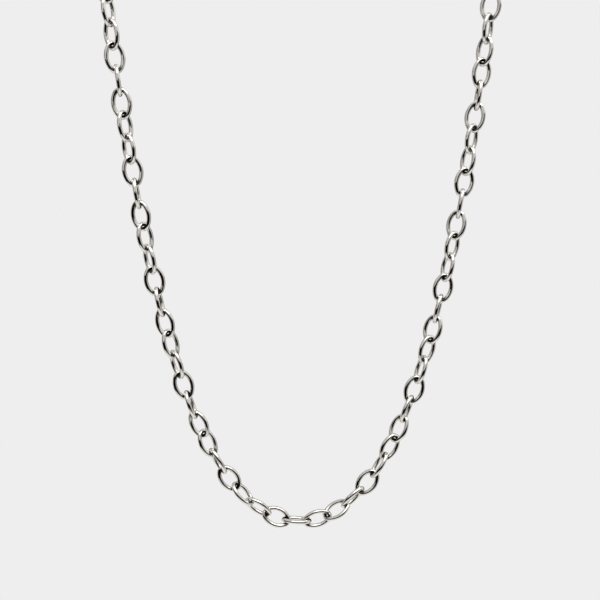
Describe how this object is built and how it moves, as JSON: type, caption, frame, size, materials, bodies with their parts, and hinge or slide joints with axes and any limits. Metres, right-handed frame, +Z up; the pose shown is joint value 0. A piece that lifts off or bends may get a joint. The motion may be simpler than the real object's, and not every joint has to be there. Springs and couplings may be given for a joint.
{
  "type": "charm necklace chain",
  "caption": "Long cable chain necklace of oval round-wire links without a charm, in a deep U from the neck, closed behind it by a plain claw clasp; its lowest link can carry a charm.",
  "frame": {"origin": "middle of the neck loop: halfway between the two places where the chain starts round the nape, at the level of the neck's sides", "axes": "+Z up, the front hangs in a plane that faces -Y, +X towards the right-hand strand as seen from the front"},
  "size_m": [0.1123, 0.0898, 0.1949],
  "materials": {
    "silver": "bright polished sterling silver"
  },
  "bodies": {
    "root": {"chain_left": "silver", "chain_right": "silver", "clasp": "silver"}
  },
  "joints": []
}
